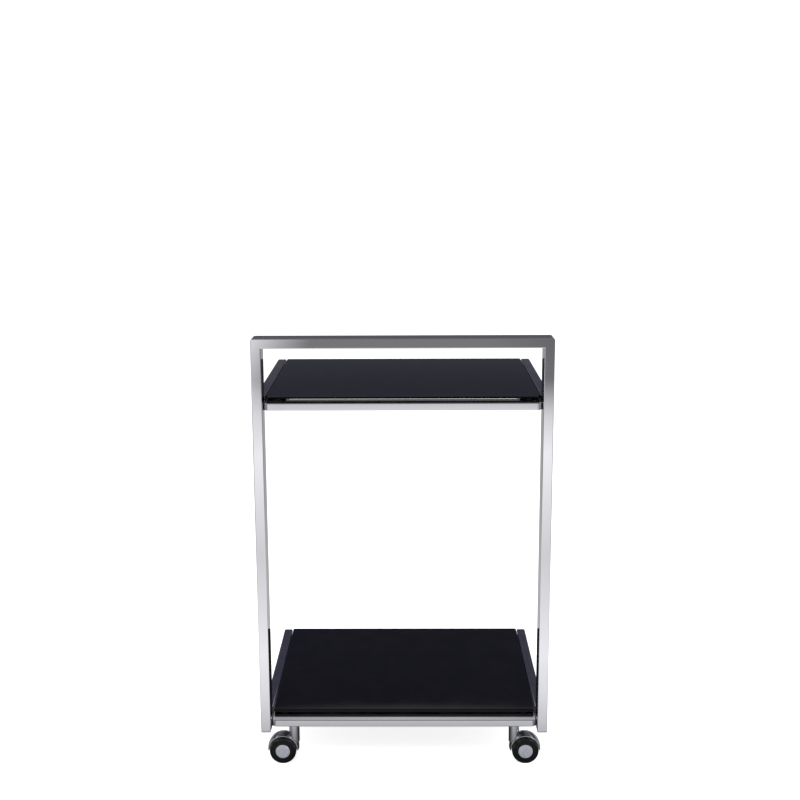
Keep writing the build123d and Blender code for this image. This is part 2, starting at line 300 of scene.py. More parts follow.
CAMERA_PLACE = (0.01146, -2.18726, 1.18954)
aim_camera(CAMERA_PLACE, pitch=10.233, yaw=-0.463, roll=-0.249, focal=49.388, shift=-0.06)
print("camera is", round(FRONT - CAMERA_PLACE[1], 2), "m in front of the arch")

# %% [markdown]
# ## Shared effects
# Handled metal, glass and plastic all pick up the same three things: a faint film of smudges,
# hair-fine scratches, and dust that settles on upward faces. Each effect is one node group,
# used by every finish with its own amounts, so that a change is made in one place.
# A shallow ripple group stands for the slight unevenness left by rolling and polishing.

# %% Groups
def new_group(name, inputs, outputs):
    """An empty shader group with float or vector sockets."""
    group = bpy.data.node_groups.new(name, "ShaderNodeTree")
    for label, value in inputs:
        kind = "NodeSocketVector" if value is None else "NodeSocketFloat"
        socket = group.interface.new_socket(name=label, in_out="INPUT", socket_type=kind)
        if value is not None:
            socket.default_value = value
    for label in outputs:
        group.interface.new_socket(name=label, in_out="OUTPUT", socket_type="NodeSocketFloat")
    source = group.nodes.new("NodeGroupInput")
    source.location = (-1200, 0)
    sink = group.nodes.new("NodeGroupOutput")
    sink.location = (700, 0)
    return group, source.outputs, sink.inputs


def map_range(tree, value, low, high, to_low=0.0, to_high=1.0, place=(0, 0)):
    """Clamp and rescale a value; the result is returned as a socket."""
    return add_node(tree, "ShaderNodeMapRange", place,
                    {"Value": value, "From Min": low, "From Max": high, "To Min": to_low,
                     "To Max": to_high}).outputs[0]


def noise(tree, vector, scale, detail=2.0, rough=0.5, place=(0, 0)):
    """A noise value between 0 and 1."""
    return add_node(tree, "ShaderNodeTexNoise", place,
                    {"Vector": vector, "Scale": scale, "Detail": detail,
                     "Roughness": rough}).outputs[0]


def smudge_group():
    """Patches where hands or a cloth have left a film."""
    group, given, result = new_group("Smudges", [("Vector", None), ("Scale", 9.0),
                                                 ("Amount", 1.0)], ["Mask"])
    broad = noise(group, given["Vector"], given["Scale"], 3.0, 0.55, (-900, 100))
    patches = map_range(group, broad, 0.46, 0.68, place=(-650, 100))
    finer_scale = math_node(group, "MULTIPLY", given["Scale"], 7.0, (-1000, -200))
    fine = noise(group, given["Vector"], finer_scale, 4.0, 0.6, (-800, -200))
    grain = map_range(group, fine, 0.3, 0.7, 0.4, 1.0, (-550, -200))
    both = math_node(group, "MULTIPLY", patches, grain, (-300, 0))
    mask = math_node(group, "MULTIPLY", both, given["Amount"], (-100, 0), clamp=True)
    group.links.new(mask, result["Mask"])
    return group


def scratch_group():
    """Hair-fine lines in three directions, broken up so that none runs the whole length."""
    group, given, result = new_group("Fine scratches", [("Vector", None), ("Scale", 60.0),
                                                        ("Amount", 1.0)], ["Mask"])
    total = None
    for number, turn in enumerate(((0.3, 0.2, 0.5), (1.1, 0.7, 2.1), (2.2, 1.5, 0.9))):
        spot = (-950, 300 - 300 * number)
        turned = add_node(group, "ShaderNodeMapping", spot,
                          {"Vector": given["Vector"], "Rotation": turn,
                           "Scale": (1.0, 14.0, 14.0)})
        streaks = noise(group, turned.outputs[0], given["Scale"], 2.0, 0.5,
                        (-700, 300 - 300 * number))
        lines = map_range(group, streaks, 0.70, 0.76, place=(-500, 300 - 300 * number))
        total = lines if total is None else math_node(group, "MAXIMUM", total, lines,
                                                      (-250, 100 - 100 * number))
    rarity = noise(group, given["Vector"], 14.0, 2.0, 0.5, (-500, -700))
    rare = map_range(group, rarity, 0.45, 0.6, place=(-300, -700))
    total = math_node(group, "MULTIPLY", total, rare, (0, 0))
    mask = math_node(group, "MULTIPLY", total, given["Amount"], (200, 0), clamp=True)
    group.links.new(mask, result["Mask"])
    return group


def dust_group():
    """Specks and a thin veil on faces that look up."""
    group, given, result = new_group("Settled dust", [("Vector", None), ("Scale", 900.0),
                                                      ("Amount", 1.0)], ["Mask"])
    facing = add_node(group, "ShaderNodeNewGeometry", (-1200, -300)).outputs["Normal"]
    up = add_node(group, "ShaderNodeSeparateXYZ", (-1000, -300), {0: facing}).outputs["Z"]
    upward = map_range(group, up, 0.2, 0.9, place=(-800, -300))
    specks = add_node(group, "ShaderNodeTexVoronoi", (-800, 100),
                      {"Vector": given["Vector"], "Scale": given["Scale"]}).outputs["Distance"]
    dots = map_range(group, specks, 0.16, 0.05, place=(-600, 100))
    drift = noise(group, given["Vector"], 22.0, 4.0, 0.6, (-800, -100))
    drift = map_range(group, drift, 0.42, 0.72, 0.06, 1.0, (-600, -100))
    spread = math_node(group, "MULTIPLY", dots, drift, (-350, 100))
    veil = math_node(group, "MULTIPLY", drift, 0.10, (-350, -100))
    both = math_node(group, "ADD", spread, veil, (-150, 0))
    both = math_node(group, "MULTIPLY", both, upward, (50, 0))
    mask = math_node(group, "MULTIPLY", both, given["Amount"], (250, 0), clamp=True)
    group.links.new(mask, result["Mask"])
    return group


def ripple_group():
    """Shallow unevenness, drawn out along one direction by the vector it is given."""
    group, given, result = new_group("Polish ripple", [("Vector", None), ("Long", 9.0),
                                                       ("Short", 70.0)], ["Height"])
    long_wave = noise(group, given["Vector"], given["Long"], 1.0, 0.4, (-900, 100))
    short_wave = noise(group, given["Vector"], given["Short"], 2.0, 0.5, (-900, -200))
    small = math_node(group, "MULTIPLY", short_wave, 0.12, (-600, -200))
    total = math_node(group, "ADD", long_wave, small, (-300, 0))
    group.links.new(total, result["Height"])
    return group


GROUPS = {"smudge": smudge_group(), "scratch": scratch_group(), "dust": dust_group(),
          "ripple": ripple_group()}
print("groups:", sorted(GROUPS))

# %% [markdown]
# ## Finishes
# Every finish starts from one Principled shader. The chrome, the black glass, the glossy
# wheel plastic and the rest differ in a handful of values, so one builder makes them all from
# a short recipe: base colour, roughness range, how much of each shared effect, and how deep
# the ripple is. Wheels and pads carry a "wear" attribute that says where they rub.

# %% Finish builder
def use_group(tree, key, vector, place, **values):
    """Place a shared group, give it a vector and its amounts, and return its output."""
    node = add_node(tree, "ShaderNodeGroup", place, node_tree=GROUPS[key])
    tree.links.new(vector, node.inputs["Vector"])
    for name, value in values.items():
        node.inputs[name].default_value = value
    return node.outputs[0]


def mix_colour(tree, factor, first, second, place):
    """Mix two colours by a mask."""
    return add_node(tree, "ShaderNodeMix", place, {0: factor, "A": first, "B": second},
                    data_type="RGBA").outputs["Result"]


def finish(name, colour, rough, metallic=0.0, stretch=(1, 1, 1), smudge=(9.0, 0.6),
           scratch=(60.0, 0.5), dust=(900.0, 0.3), ripple=(9.0, 70.0), depth=0.00002,
           dust_colour=(0.42, 0.40, 0.37), scuff_colour=None, grain=None, ior=1.5,
           worn_colour=None):
    """A complete material from one recipe. Roughness is (clean, smudged, scratched)."""
    material = bpy.data.materials.new(name)
    material.use_nodes = True
    tree = material.node_tree
    tree.nodes.clear()
    place = add_node(tree, "ShaderNodeTexCoord", (-1900, 0)).outputs["Object"]
    drawn = add_node(tree, "ShaderNodeMapping", (-1650, -300),
                     {"Vector": place, "Scale": stretch}).outputs[0]
    film = use_group(tree, "smudge", place, (-1350, 300), Scale=smudge[0], Amount=smudge[1])
    lines = use_group(tree, "scratch", place, (-1350, 50), Scale=scratch[0],
                      Amount=scratch[1])
    specks = use_group(tree, "dust", place, (-1350, -200), Scale=dust[0], Amount=dust[1])
    waves = use_group(tree, "ripple", drawn, (-1350, -450), Long=ripple[0], Short=ripple[1])

    base = (*colour, 1)
    scuff = (*(scuff_colour or tuple(0.82 * c for c in colour)), 1)
    tone = mix_colour(tree, lines, base, scuff, (-900, 400))
    roughness = map_range(tree, film, 0, 1, rough[0], rough[1], (-900, 100))
    scratched = math_node(tree, "MULTIPLY", lines, rough[2] - rough[0], (-900, -50))
    roughness = math_node(tree, "ADD", roughness, scratched, (-700, 50), clamp=True)
    if worn_colour:
        wear = add_node(tree, "ShaderNodeAttribute", (-1350, 700),
                        attribute_name="wear").outputs["Fac"]
        patchy = noise(tree, place, 210.0, 4.0, 0.65, (-1350, 550))
        worn = math_node(tree, "MULTIPLY", wear,
                         map_range(tree, patchy, 0.35, 0.62, 0.25, 1.0, (-1150, 550)),
                         (-1000, 650), clamp=True)
        tone = mix_colour(tree, worn, tone, (*worn_colour, 1), (-700, 500))
        roughness = math_node(tree, "ADD", roughness,
                              math_node(tree, "MULTIPLY", worn, 0.35, (-700, 250)),
                              (-500, 150), clamp=True)
    tone = mix_colour(tree, specks, tone, (*dust_colour, 1), (-500, 400))
    roughness = math_node(tree, "ADD", roughness,
                          math_node(tree, "MULTIPLY", specks, 0.5, (-500, -100)),
                          (-300, 50), clamp=True)
    height = waves
    if grain:
        pattern = noise(tree, place, grain[0], 3.0, 0.6, (-1350, -700))
        height = math_node(tree, "ADD", height,
                           math_node(tree, "MULTIPLY", pattern, grain[1], (-1100, -700)),
                           (-900, -500))
    height = math_node(tree, "SUBTRACT", height,
                       math_node(tree, "MULTIPLY", lines, 0.04, (-900, -300)), (-700, -400))
    bump = add_node(tree, "ShaderNodeBump", (-300, -300),
                    {"Height": height, "Distance": depth, "Strength": 1.0})
    metal = metallic
    if metallic and dust[1]:
        clear = math_node(tree, "SUBTRACT", 1.0, specks, (-300, 250), clamp=True)
        metal = math_node(tree, "MULTIPLY", clear, metallic, (-150, 250))
    shader = add_node(tree, "ShaderNodeBsdfPrincipled", (100, 100),
                      {"Base Color": tone, "Roughness": roughness, "Metallic": metal,
                       "IOR": ior, "Normal": bump.outputs[0]})
    add_node(tree, "ShaderNodeOutputMaterial", (450, 100), {"Surface": shader.outputs[0]})
    material.diffuse_color = base
    return material


# %% [markdown]
# ## Recipes
# Chrome plate mirrors about two thirds of the light, a touch bluer than silver. Its ripple is
# drawn out along each tube, the way rolling and polishing leave it, so there is one chrome
# for each direction that the tubes run in. Black glass is a smooth dark body under a hard
# polished face. The plastics are the same recipe with a fine moulded grain.

# %% Materials
CHROME = dict(colour=(0.66, 0.66, 0.695), rough=(0.035, 0.085, 0.20), metallic=1.0,
              smudge=(16.0, 0.5), scratch=(75.0, 0.45), dust=(1100.0, 0.16), depth=0.00003)
ALONG = {"x": (0.22, 3.0, 3.0), "y": (3.0, 0.22, 3.0), "z": (3.0, 3.0, 0.22)}
chrome = {axis: finish(f"chrome_along_{axis}", stretch=ALONG[axis], **CHROME)
          for axis in "xyz"}
cast_chrome = finish("caster_chrome", (0.66, 0.67, 0.71), (0.03, 0.08, 0.20), 1.0,
                     smudge=(40.0, 0.5), scratch=(160.0, 0.5), dust=(1500.0, 0.12),
                     ripple=(60.0, 240.0), depth=0.00002)
black_glass = finish("black_glass", (0.0035, 0.0035, 0.0055), (0.018, 0.075, 0.12),
                     smudge=(7.0, 0.45), scratch=(40.0, 0.25), dust=(800.0, 0.05),
                     ripple=(3.0, 20.0), depth=0.000008, scuff_colour=(0.02, 0.02, 0.024))
wheel_black = finish("wheel_black", (0.0018, 0.0018, 0.0026), (0.06, 0.13, 0.26),
                     smudge=(60.0, 0.6), scratch=(260.0, 0.35), dust=(2000.0, 0.08),
                     ripple=(60.0, 300.0), depth=0.00004, scuff_colour=(0.03, 0.03, 0.03),
                     worn_colour=(0.022, 0.021, 0.021), grain=(1400.0, 0.12))
hub_grey = finish("hub_cap_grey", (0.56, 0.58, 0.65), (0.26, 0.36, 0.44), 0.35,
                  smudge=(70.0, 0.6), scratch=(260.0, 0.6), dust=(2000.0, 0.2),
                  ripple=(60.0, 400.0), depth=0.00003, grain=(2600.0, 0.5))
pad_rubber = finish("pad_rubber", (0.012, 0.012, 0.012), (0.62, 0.72, 0.75),
                    smudge=(80.0, 0.8), scratch=(200.0, 0.2), dust=(1800.0, 0.5),
                    ripple=(90.0, 500.0), depth=0.00015, grain=(1500.0, 0.6),
                    worn_colour=(0.035, 0.034, 0.033))
arm_plastic = finish("arm_cap_plastic", (0.016, 0.016, 0.018), (0.28, 0.38, 0.5),
                     smudge=(50.0, 0.7), scratch=(220.0, 0.6), dust=(1600.0, 0.4),
                     ripple=(60.0, 300.0), depth=0.0001, grain=(1800.0, 0.6),
                     scuff_colour=(0.07, 0.07, 0.07))
post_plastic = finish("post_cap_plastic", (0.44, 0.445, 0.46), (0.22, 0.34, 0.45), 0.5,
                      smudge=(50.0, 0.7), scratch=(220.0, 0.7), dust=(1600.0, 0.2),
                      ripple=(60.0, 300.0), depth=0.00008, grain=(2000.0, 0.4))
zinc = finish("zinc_nut", (0.52, 0.52, 0.49), (0.28, 0.42, 0.5), 1.0,
              smudge=(110.0, 1.0), scratch=(300.0, 0.8), dust=(1600.0, 0.3),
              ripple=(160.0, 600.0), depth=0.0001, scuff_colour=(0.40, 0.39, 0.33))
turned_steel = finish("turned_steel", (0.60, 0.60, 0.61), (0.16, 0.28, 0.36), 1.0,
                      stretch=(1, 1, 14), smudge=(90.0, 0.8), scratch=(260.0, 0.6),
                      dust=(1600.0, 0.2), ripple=(120.0, 420.0), depth=0.00006)
print("materials:", len(bpy.data.materials))

# %% [markdown]
# ## Finish on the parts that stay
# The tubes of the arch and the shelf frames already have their true shape, rounded edges,
# mitres and all, so they stay as they are and get a finish. So do the caster housings, the
# axles and the nuts.

# %% Finish on CAD parts
SIDES = ("left", "right")
ROWS = ("front", "rear")
SHELVES = ("lower", "upper")
CASTERS = [f"{row}_{side}" for row in ROWS for side in SIDES]


dressed = []


def give(material, names):
    """Put one material in the slot of each named CAD part."""
    for name in names:
        nodes[name].data.materials.clear()
        nodes[name].data.materials.append(material)
    dressed.extend(names)


give(chrome["z"], [f"{side}_post" for side in SIDES])
give(chrome["x"], ["top_bar"] + [f"{s}_{row}_rail" for s in SHELVES for row in ROWS])
give(chrome["y"], [f"{s}_{side}_{part}" for s in SHELVES for side in SIDES
                   for part in ("arm", "rail")])
give(cast_chrome, [f"{caster}_housing" for caster in CASTERS])
give(turned_steel, [f"{caster}_axle" for caster in CASTERS])
give(zinc, ["caster_nuts"])
print("parts that stay:", len(dressed))

# %% [markdown]
# ## Turned parts
# Wheels, hub caps, pads and pins are all round, so each is one profile turned about an axis,
# as on a lathe. A helper rounds the profile's corners first, because no moulded or turned
# edge is perfectly sharp, and that small radius is what catches the light.
# The normals are recalculated after the turning, and flat faces are kept flat in the shading
# by weighting the normals with the faces' area.

# %% Lathe
def soften(corners, steps=3):
    """Round a profile. Corners are (radius, height) or (radius, height, rounding)."""
    points, count = [], len(corners)
    for index, corner in enumerate(corners):
        here = Vector(corner[:2])
        rounding = corner[2] if len(corner) > 2 else 0.0
        if rounding == 0.0:
            points.append(here)
            continue
        before = Vector(corners[index - 1][:2])
        after = Vector(corners[(index + 1) % count][:2])
        to_before, to_after = (before - here), (after - here)
        half = to_before.angle(to_after) / 2
        reach = min(rounding / tan(half), 0.49 * to_before.length, 0.49 * to_after.length)
        radius = reach * tan(half)
        middle = here + (to_before.normalized() + to_after.normalized()).normalized() * (
            radius / sin(half))
        start = here + to_before.normalized() * reach - middle
        end = here + to_after.normalized() * reach - middle
        sweep = start.angle_signed(end)
        for step in range(steps + 1):
            share = step / steps
            turned = Matrix.Rotation(-sweep * share, 2) @ start
            points.append(middle + turned)
    return points


def shade(piece, sharp=32):
    """Smooth shading with crisp creases, flat faces kept flat."""
    mesh = piece.data
    mesh.shade_smooth()
    mesh.set_sharp_from_angle(angle=radians(sharp))
    weights = piece.modifiers.new("weighted", "WEIGHTED_NORMAL")
    weights.keep_sharp = True
    weights.weight = 60
    graph = bpy.context.evaluated_depsgraph_get()
    finished = bpy.data.meshes.new_from_object(piece.evaluated_get(graph))
    finished.name = mesh.name
    piece.modifiers.clear()
    piece.data = finished
    bpy.data.meshes.remove(mesh)
    return piece


def new_piece(name, bm, materials, sharp=32):
    """Turn a bmesh into a finished object in the scene."""
    bmesh.ops.recalc_face_normals(bm, faces=bm.faces)
    mesh = bpy.data.meshes.new(name)
    bm.to_mesh(mesh)
    bm.free()
    for material in materials:
        mesh.materials.append(material)
    piece = bpy.data.objects.new(name, mesh)
    scene.collection.objects.link(piece)
    return shade(piece, sharp)


def turn(bm, profile, centre, axis, steps=96, wear=None, closed=True):
    """Turn a profile of (radius, height) about an axis through a centre, into a bmesh.

    wear, if given, is a function of (radius, height) that fills the wear attribute."""
    axis = Vector(axis).normalized()
    across = axis.orthogonal().normalized()
    other = axis.cross(across)
    layer = bm.verts.layers.float.get("wear") or bm.verts.layers.float.new("wear")
    rings = []
    for radius, height in profile:
        count = steps if radius > 1e-7 else 1
        ring = []
        for step in range(count):
            angle = 2 * pi * step / steps
            out = across * cos(angle) + other * sin(angle)
            vert = bm.verts.new(Vector(centre) + axis * height + out * radius)
            vert[layer] = wear(radius, height) if wear else 0.0
            ring.append(vert)
        rings.append(ring)
    pairs = list(zip(rings, rings[1:]))
    if closed:
        pairs.append((rings[-1], rings[0]))
    for low, high in pairs:
        if len(low) == 1 and len(high) == 1:
            continue
        for step in range(steps):
            ahead = (step + 1) % steps
            if len(low) == 1:
                bm.faces.new((low[0], high[ahead], high[step]))
            elif len(high) == 1:
                bm.faces.new((low[step], low[ahead], high[0]))
            else:
                bm.faces.new((low[step], low[ahead], high[ahead], high[step]))


def in_mm(corners):
    """Profiles are written in millimetres and used in metres."""
    return [tuple(MM * value for value in corner) for corner in corners]


print("lathe ready")

# %% [markdown]
# ## Wheels
# Each wheel is one moulding of hard glossy plastic. The tread is barely crowned, the outer
# face steps down past a fine groove to a shallow dish, and a raised bead frames the hub cap.
# The inner side, next to the housing's web, is hollowed to a rim and a boss. Only the tread
# touches the floor, so the wear attribute is 1 there and fades over the shoulder.

# %% Wheel
WHEEL = dict(radius=26.5, width=15.2, bore=3.08, seat=14.1, seat_depth=5.0)


def wheel_profile():
    """Section of a wheel from its inner face (height 0) to its outer face."""
    r, w = WHEEL["radius"], WHEEL["width"]
    floor_of_seat = w - WHEEL["seat_depth"]
    return in_mm([
        (WHEEL["bore"], 0.0, 0.3), (8.2, 0.0, 0.4), (8.6, 1.6, 0.5), (21.2, 1.6, 0.6),
        (22.0, 0.0, 0.4), (r - 0.25, 0.0, 1.0), (r, 3.6, 2.0), (r, w - 4.2, 2.0),
        (r - 0.55, w - 1.5, 1.6), (r - 2.4, w, 1.4), (22.9, w, 0.25), (22.6, w - 0.55, 0.2),
        (22.1, w - 0.55, 0.2), (21.8, w - 0.12, 0.25), (17.3, w - 0.6, 0.8),
        (16.7, w - 0.05, 0.35), (WHEEL["seat"], w - 0.05, 0.35),
        (WHEEL["seat"], floor_of_seat), (WHEEL["bore"], floor_of_seat, 0.2)])


def tread_wear(radius, height):
    """1 on the tread, 0 below its shoulders."""
    return max(0.0, min(1.0, (radius / MM - 25.2) / 0.9))


def axle_centre(caster):
    """Middle of a caster's axle."""
    low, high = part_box(f"{caster}_axle")
    return (low + high) / 2


def outward(place):
    """Direction of a wheel's outer face along the axle."""
    return -1 if place == "front" else 1


def on_axle(caster, place, node, profile, steps, wear=None):
    """Turn a profile about a caster's axle, starting at the node's inner face."""
    low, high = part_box(node)
    side = outward(place)
    centre = axle_centre(caster)
    centre.y = high.y if side < 0 else low.y
    bm = bmesh.new()
    turn(bm, profile, centre, (0, side, 0), steps, wear)
    return bm


for caster in CASTERS:
    for place in ("front", "back"):
        name = f"{caster}_{place}_wheel"
        bm = on_axle(caster, place, name, soften(wheel_profile(), 4), 128, tread_wear)
        wheel = new_piece(name + "_moulding", bm, [wheel_black])
        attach(wheel, name)
        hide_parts(name)
print("one wheel has", len(wheel.data.polygons), "faces")

# %% [markdown]
# ## Hub caps
# A pressed-in disc of silver-grey plastic: nearly flat, with a bevelled border that catches
# a thin crescent of light. It covers the axle's end and sits in the wheel's seat.

# %% Hub cap
def hub_cap_profile():
    """Section of a cap from its rim (height 0 at the floor of the seat) to its face."""
    seat, dome, rim = WHEEL["seat_depth"], 1.4, WHEEL["seat"] - 0.1
    return in_mm([(rim - 1.2, 0.0, 0.2), (rim, 0.0, 0.2), (rim, seat + 0.15, 0.3),
                  (rim - 0.6, seat + 0.55, 0.35), (rim - 2.3, seat + 1.1, 0.6),
                  (7.0, seat + 1.3, 3.0), (0.0, seat + dome), (0.0, seat + 0.2),
                  (rim - 1.9, seat - 0.5, 0.4), (rim - 1.2, seat - 0.9, 0.3)])


for caster in CASTERS:
    for place in ("front", "back"):
        name = f"{caster}_{place}_hub_cap"
        bm = on_axle(caster, place, name, soften(hub_cap_profile()), 96)
        cap = new_piece(name + "_disc", bm, [hub_grey])
        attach(cap, f"{caster}_{place}_wheel")
        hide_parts(name)
low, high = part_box(name)
print("hub cap rises", round(1000 * (high.y - low.y), 2), "mm from its seat")

# %% [markdown]
# ## Swivel pins
# Each caster turns on a steel pin with a round collar that bears on the housing's neck.
# The pin's lower end is chamfered, the collar's edge is eased, and a thread runs up through
# the rail into a nut.
# The core is turned. The thread is a ridge that follows a spiral, which is a job for
# Geometry Nodes: a Spiral curve, a small triangular section swept along it, and a material.

# %% Swivel pins
PIN = dict(radius=4.0, collar=9.0, collar_height=2.0, root=3.45)


def pin_profile(low, seat, high):
    """Section of a pin from its lower end to the top of its thread, heights from low."""
    top = (high - low) / MM
    collar_top = (seat - low) / MM
    collar_low = collar_top - PIN["collar_height"]
    return in_mm([(0, 0), (3.4, 0, 0.1), (PIN["radius"], 0.6, 0.2),
                  (PIN["radius"], collar_low), (PIN["collar"] - 0.4, collar_low, 0.15),
                  (PIN["collar"], collar_low + 0.4, 0.2), (PIN["collar"], collar_top - 0.5, 0.3),
                  (PIN["collar"] - 0.5, collar_top, 0.2), (PIN["radius"], collar_top),
                  (PIN["root"], collar_top + 0.8), (PIN["root"], top - 0.5, 0.1),
                  (PIN["root"] - 0.5, top, 0.1), (0, top)])


def new_tree(name, inputs):
    """An empty Geometry Nodes tree: a mesh and named sizes go in, a mesh comes out."""
    tree = bpy.data.node_groups.new(name, "GeometryNodeTree")
    new = tree.interface.new_socket
    new(name="Geometry", in_out="INPUT", socket_type="NodeSocketGeometry")
    for label, value in inputs.items():
        kind = "NodeSocketInt" if isinstance(value, int) else "NodeSocketFloat"
        new(name=label, in_out="INPUT", socket_type=kind).default_value = value
    new(name="Geometry", in_out="OUTPUT", socket_type="NodeSocketGeometry")
    return tree, add_node(tree, "NodeGroupInput", (-1100, 0)).outputs


def end_tree(tree, shape, material, x, y=0):
    """Make the copies real, give them their material and put them out."""
    solid = add_node(tree, "GeometryNodeRealizeInstances", (x, y), {"Geometry": shape})
    coated = add_node(tree, "GeometryNodeSetMaterial", (x + 200, y),
                      {"Geometry": solid.outputs[0], "Material": material})
    add_node(tree, "NodeGroupOutput", (x + 400, y), {0: coated.outputs[0]})
    return tree


THREAD = {"Turns": 6.8, "Radius": 0.00362, "Length": 0.0085, "Ridge": 0.00036}
THREAD_DROP = 0.0092          # the thread starts this far below the pin's top


def thread_tree(material):
    """Geometry Nodes: a triangular ridge along a spiral."""
    tree, given = new_tree("Thread", THREAD)
    spiral = add_node(tree, "GeometryNodeCurveSpiral", (-600, 100),
                      {"Resolution": 32, "Rotations": given["Turns"],
                       "Start Radius": given["Radius"], "End Radius": given["Radius"],
                       "Height": given["Length"]})
    section = add_node(tree, "GeometryNodeCurvePrimitiveCircle", (-600, -200),
                       {"Resolution": 3, "Radius": given["Ridge"]})
    ridge = add_node(tree, "GeometryNodeCurveToMesh", (-300, 0),
                     {"Curve": spiral.outputs[0], "Profile Curve": section.outputs[0],
                      "Fill Caps": True})
    return end_tree(tree, ridge.outputs[0], material, -100)


def grow(name, tree, values, base=None):
    """Run a Geometry Nodes tree on a base mesh and return the plain result as an object."""
    mesh = base or bpy.data.meshes.new(name + "_base")
    piece = bpy.data.objects.new(name, mesh)
    scene.collection.objects.link(piece)
    modifier = piece.modifiers.new("grow", "NODES")
    modifier.node_group = tree
    for item in tree.interface.items_tree:
        if item.item_type == "SOCKET" and item.in_out == "INPUT" and item.name in values:
            modifier[item.identifier] = values[item.name]
    bpy.context.view_layer.update()
    graph = bpy.context.evaluated_depsgraph_get()
    grown = bpy.data.meshes.new_from_object(piece.evaluated_get(graph))
    piece.modifiers.clear()
    piece.data = grown
    grown.name = name
    return piece


thread = thread_tree(turned_steel)
for caster in CASTERS:
    name = f"{caster}_stem"
    low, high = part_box(name)
    middle = (low + high) / 2
    rail_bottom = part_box("lower_front_rail")[0].z
    profile = soften(pin_profile(low.z, rail_bottom, high.z), 2)
    bm = bmesh.new()
    turn(bm, profile, (middle.x, middle.y, low.z), (0, 0, 1), 64, closed=False)
    pin = new_piece(name + "_pin", bm, [turned_steel])
    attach(pin, "frame")
    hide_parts(name)
    ridge = grow(name + "_thread", thread, THREAD)
    ridge.data.transform(Matrix.Translation((middle.x, middle.y, high.z - THREAD_DROP)))
    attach(ridge, "frame")
print("one thread has", len(ridge.data.polygons), "faces")

# %% [markdown]
# ## Glass shelves
# Tempered black glass, seven millimetres thick, with its edges ground flat, a narrow polished
# arris on both faces and small rounded corners. A mirror-smooth sheet shows its thickness
# only at those arrises, so each is modelled with its own soft turn instead of one chamfer.
# The outline is drawn once and repeated at each level of the section.

# %% Glass
def rounded_outline(width, depth, corner, steps=8):
    """Points round a rounded rectangle centred on zero."""
    points = []
    for quarter, (sx, sy) in enumerate(((1, 1), (-1, 1), (-1, -1), (1, -1))):
        middle = Vector((sx * (width / 2 - corner), sy * (depth / 2 - corner)))
        for step in range(steps + 1):
            angle = (quarter + step / steps) * pi / 2
            points.append(middle + Vector((cos(angle), sin(angle))) * corner)
    return points


def stack(bm, levels, centre):
    """Join outlines of equal length, given as (points, height), into a closed body."""
    rings = [[bm.verts.new((centre.x + p.x, centre.y + p.y, z)) for p in points]
             for points, z in levels]
    for low, high in zip(rings, rings[1:]):
        for index in range(len(low)):
            ahead = (index + 1) % len(low)
            bm.faces.new((low[index], low[ahead], high[ahead], high[index]))
    bm.faces.new(list(reversed(rings[0])))
    bm.faces.new(rings[-1])


def arris_levels(thickness, arris, steps=3):
    """(inset, height) pairs of the edge: a softened chamfer below, flat, and above."""
    corners = [(1.6 * arris, 0.0), (arris, 0.0, 0.45 * arris), (0.0, arris, 0.45 * arris),
               (0.0, thickness - arris, 0.45 * arris), (arris, thickness, 0.45 * arris),
               (1.6 * arris, thickness)]
    return soften(corners, steps)


ARRIS = 0.8 * MM
GLASS_CORNER = 3.0 * MM
for shelf in SHELVES:
    low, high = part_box(f"{shelf}_glass")
    width, depth, thickness = high - low
    centre = (low + high) / 2
    levels = []
    for inset, height in arris_levels(thickness, ARRIS):
        corner = max(GLASS_CORNER - inset, 0.4 * MM)
        levels.append((rounded_outline(width - 2 * inset, depth - 2 * inset, corner),
                       low.z + height))
    bm = bmesh.new()
    stack(bm, levels, centre)
    pane = new_piece(f"{shelf}_glass_pane", bm, [black_glass])
    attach(pane, "frame")
    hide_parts(f"{shelf}_glass")
    print(shelf, "pane", [round(1000 * side, 1) for side in (width, depth, thickness)])

# %% [markdown]
# ## Pads under the glass
# Four soft discs keep each pane off the metal. A disc has an eased rim and a shallow dish
# that grips the glass. The shape is turned once. Geometry Nodes puts it on four corners: a
# two by two grid gives the points, and an instance of the disc goes on each.

# %% Pads
PAD_WIDTH = 20 * MM
PAD_HEIGHT = 2 * MM


def corners_tree(material):
    """Geometry Nodes: a copy of the incoming mesh on each corner of a rectangle."""
    tree, given = new_tree("On four corners", {"Width": 0.4, "Depth": 0.4})
    grid = add_node(tree, "GeometryNodeMeshGrid", (-450, 150),
                    {"Size X": given["Width"], "Size Y": given["Depth"], "Vertices X": 2,
                     "Vertices Y": 2})
    copies = add_node(tree, "GeometryNodeInstanceOnPoints", (-200, 0),
                      {"Points": grid.outputs["Mesh"], "Instance": given["Geometry"]})
    return end_tree(tree, copies.outputs[0], material, 50)


def pad_mesh():
    """One pad, turned about the vertical, its foot at height zero."""
    bm = bmesh.new()
    profile = in_mm([(0, 0), (9.6, 0, 0.2), (10, 0.4, 0.2), (10, 1.5, 0.3), (9.5, 2.0, 0.2),
                     (7.8, 2.0, 0.2), (7.0, 1.6, 0.3), (0, 1.6)])
    turn(bm, soften(profile), (0, 0, 0), (0, 0, 1), 48, lambda r, h: h / PAD_HEIGHT, False)
    bmesh.ops.recalc_face_normals(bm, faces=bm.faces)
    mesh = bpy.data.meshes.new("pad")
    bm.to_mesh(mesh)
    bm.free()
    mesh.materials.append(pad_rubber)
    return mesh


